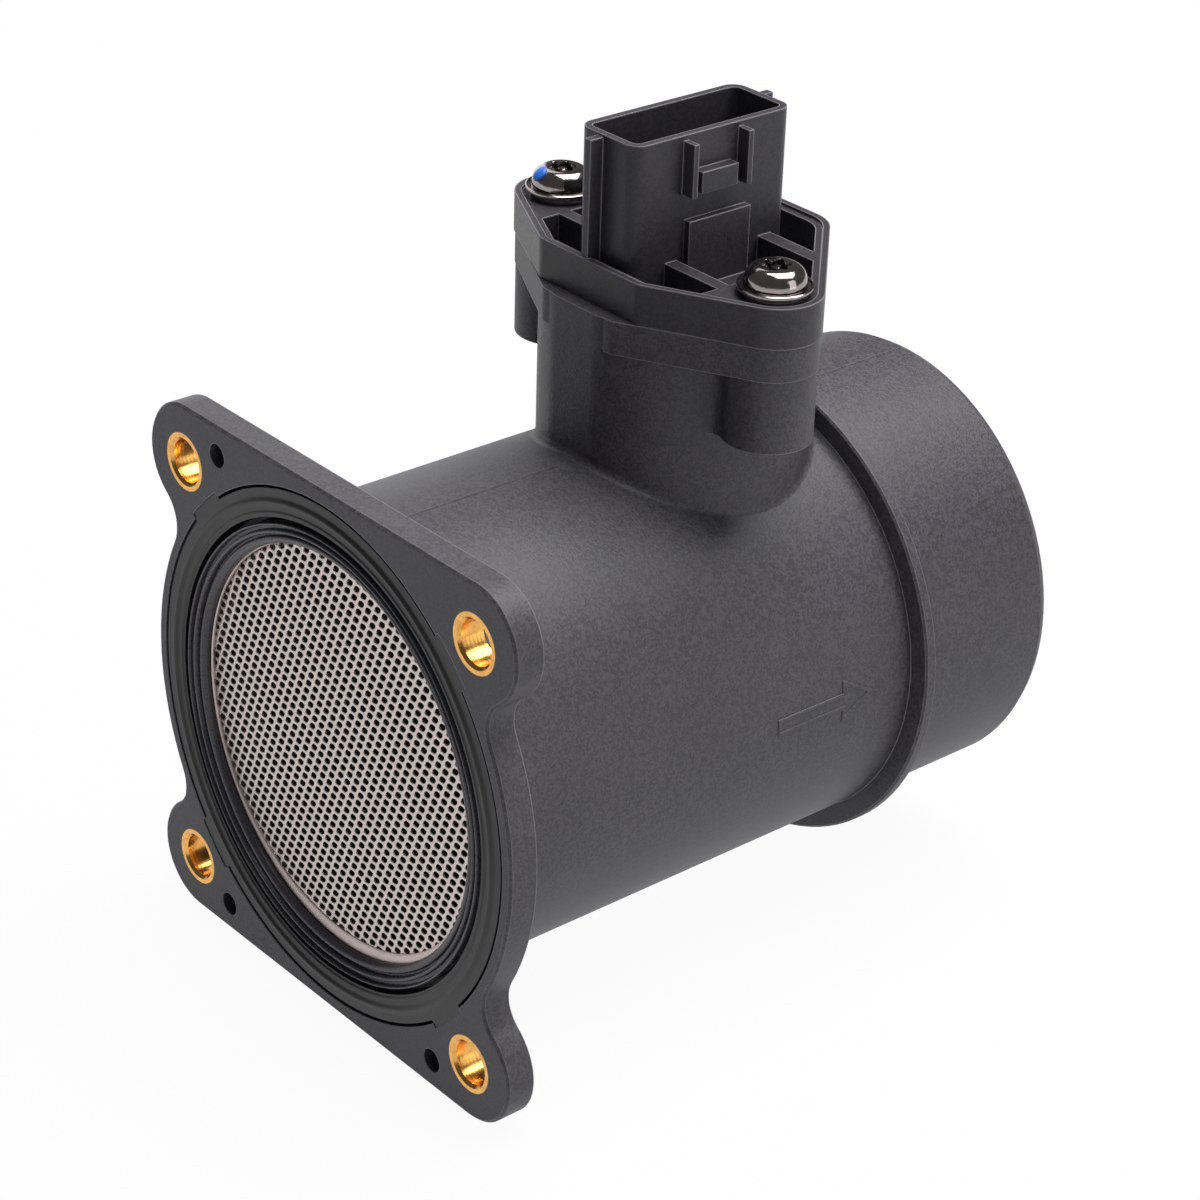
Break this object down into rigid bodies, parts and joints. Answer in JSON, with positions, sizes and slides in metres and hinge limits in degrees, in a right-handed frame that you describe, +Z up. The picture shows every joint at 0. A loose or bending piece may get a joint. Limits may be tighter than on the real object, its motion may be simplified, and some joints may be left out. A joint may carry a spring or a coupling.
{
  "type": "mass airflow sensor",
  "caption": "Flanged flow tube with a protection screen at its inlet, a hose spigot at its outlet and a plug-in hot-wire sensor module in a moulded tower.",
  "frame": {"origin": "on the axis of the bore, in the mounting face of the inlet flange, at the centre of the four bolt holes", "axes": "+Y along the bore in the flow direction, +Z up through the sensor module and its connector, +X to the right when looking into the inlet"},
  "size_m": [0.096, 0.1259, 0.1414],
  "materials": {
    "housing_plastic": "glass-filled moulded plastic, fine spark-eroded grain, satin",
    "case_plastic": "moulded plastic, satin",
    "duct_plastic": "moulded plastic, satin",
    "brass": "turned, bright",
    "rubber": "moulded, matt",
    "stainless": "rolled, bright",
    "wire_mesh": "woven wire, bright",
    "aluminium_plate": "blanked, satin",
    "board_ceramic": "matt",
    "tinned_pins": "tin plated",
    "chromated_steel": "dark chromated",
    "sensing_platinum": "bright",
    "bead_glass": "glazed bead"
  },
  "bodies": {
    "root": {"air_temperature_bead": "bead_glass", "base_plate": "aluminium_plate", "circuit_board": "board_ceramic", "cold_wire": "sensing_platinum", "duct_lid": "duct_plastic", "flange_bush_1": "brass", "flange_bush_2": "brass", "flange_bush_3": "brass", "flange_bush_4": "brass", "flange_gasket": "rubber", "flat_washers": "chromated_steel", "hot_wire": "sensing_platinum", "housing": "housing_plastic", "inlet_screen": "wire_mesh", "module_case": "case_plastic", "module_screws": "chromated_steel", "module_seal": "rubber", "screen_rim": "stainless", "screw_inserts": "brass", "sensing_duct": "duct_plastic", "sensing_posts": "stainless", "terminal_1": "tinned_pins", "terminal_2": "tinned_pins", "terminal_3": "tinned_pins", "terminal_4": "tinned_pins", "terminal_5": "tinned_pins"}
  },
  "joints": []
}
